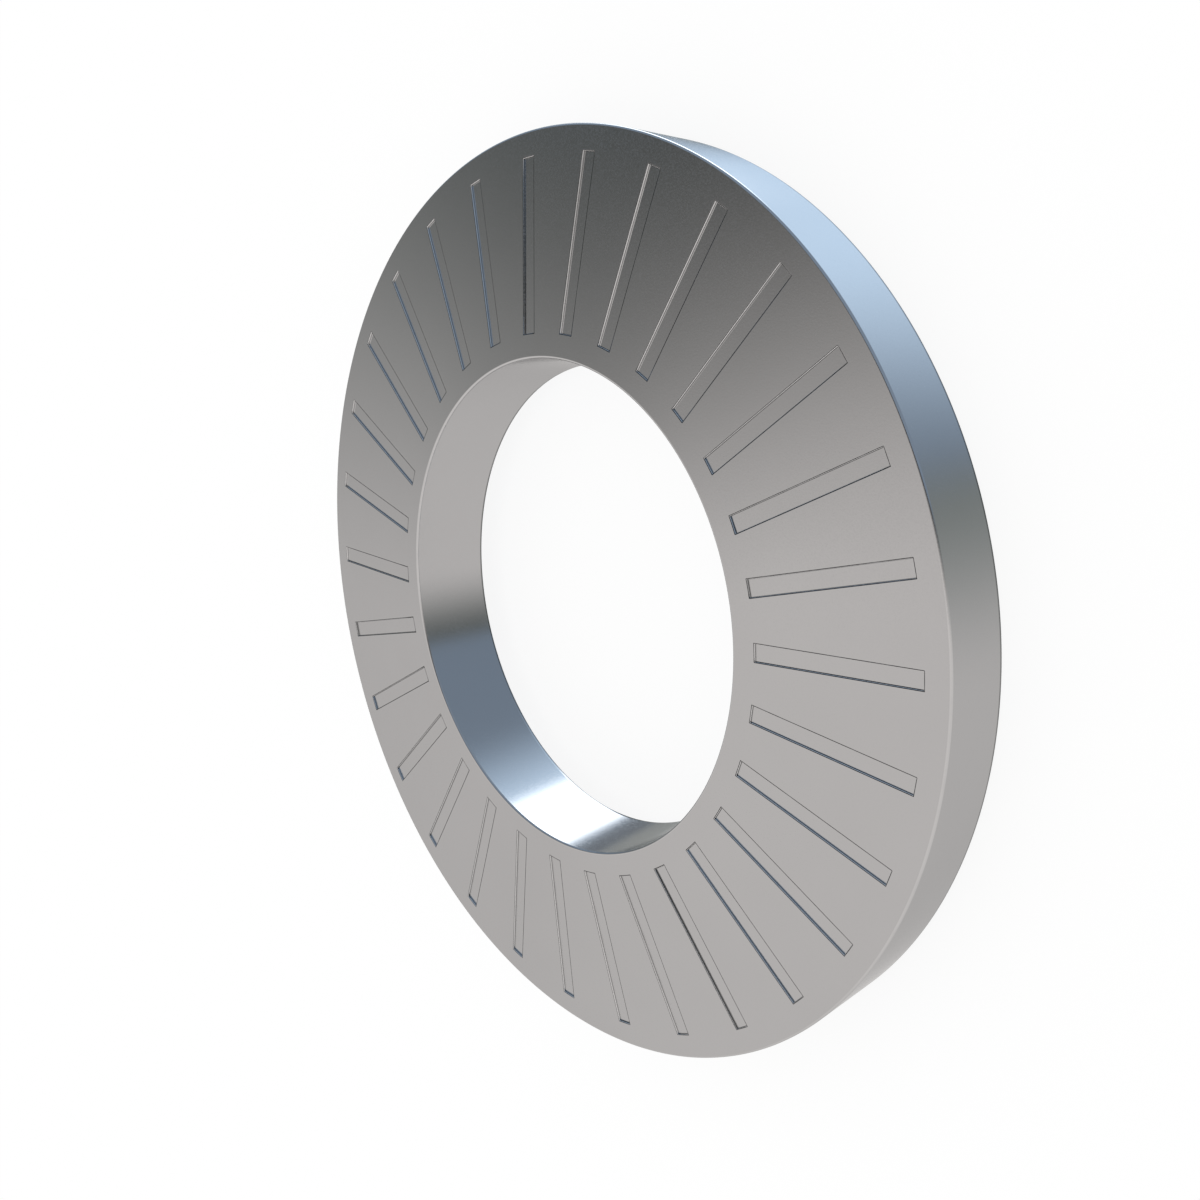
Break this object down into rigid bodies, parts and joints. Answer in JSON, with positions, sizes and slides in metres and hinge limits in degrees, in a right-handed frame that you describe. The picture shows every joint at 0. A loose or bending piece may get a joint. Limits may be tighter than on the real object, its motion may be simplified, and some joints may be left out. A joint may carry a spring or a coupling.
{
  "type": "conical lock washer",
  "caption": "Coned steel lock washer with a round bolt hole and shallow radial grooves pressed into its raised face.",
  "frame": {"origin": "on the bolt axis, level with the lower edge of the rim, which the washer rests on", "axes": "+Z along the bolt axis, out of the raised grooved face; +X along the first groove"},
  "size_m": [0.016, 0.016, 0.0019],
  "materials": {
    "steel": "smooth satin steel"
  },
  "bodies": {
    "root": {"lock_washer": "steel"}
  },
  "joints": []
}
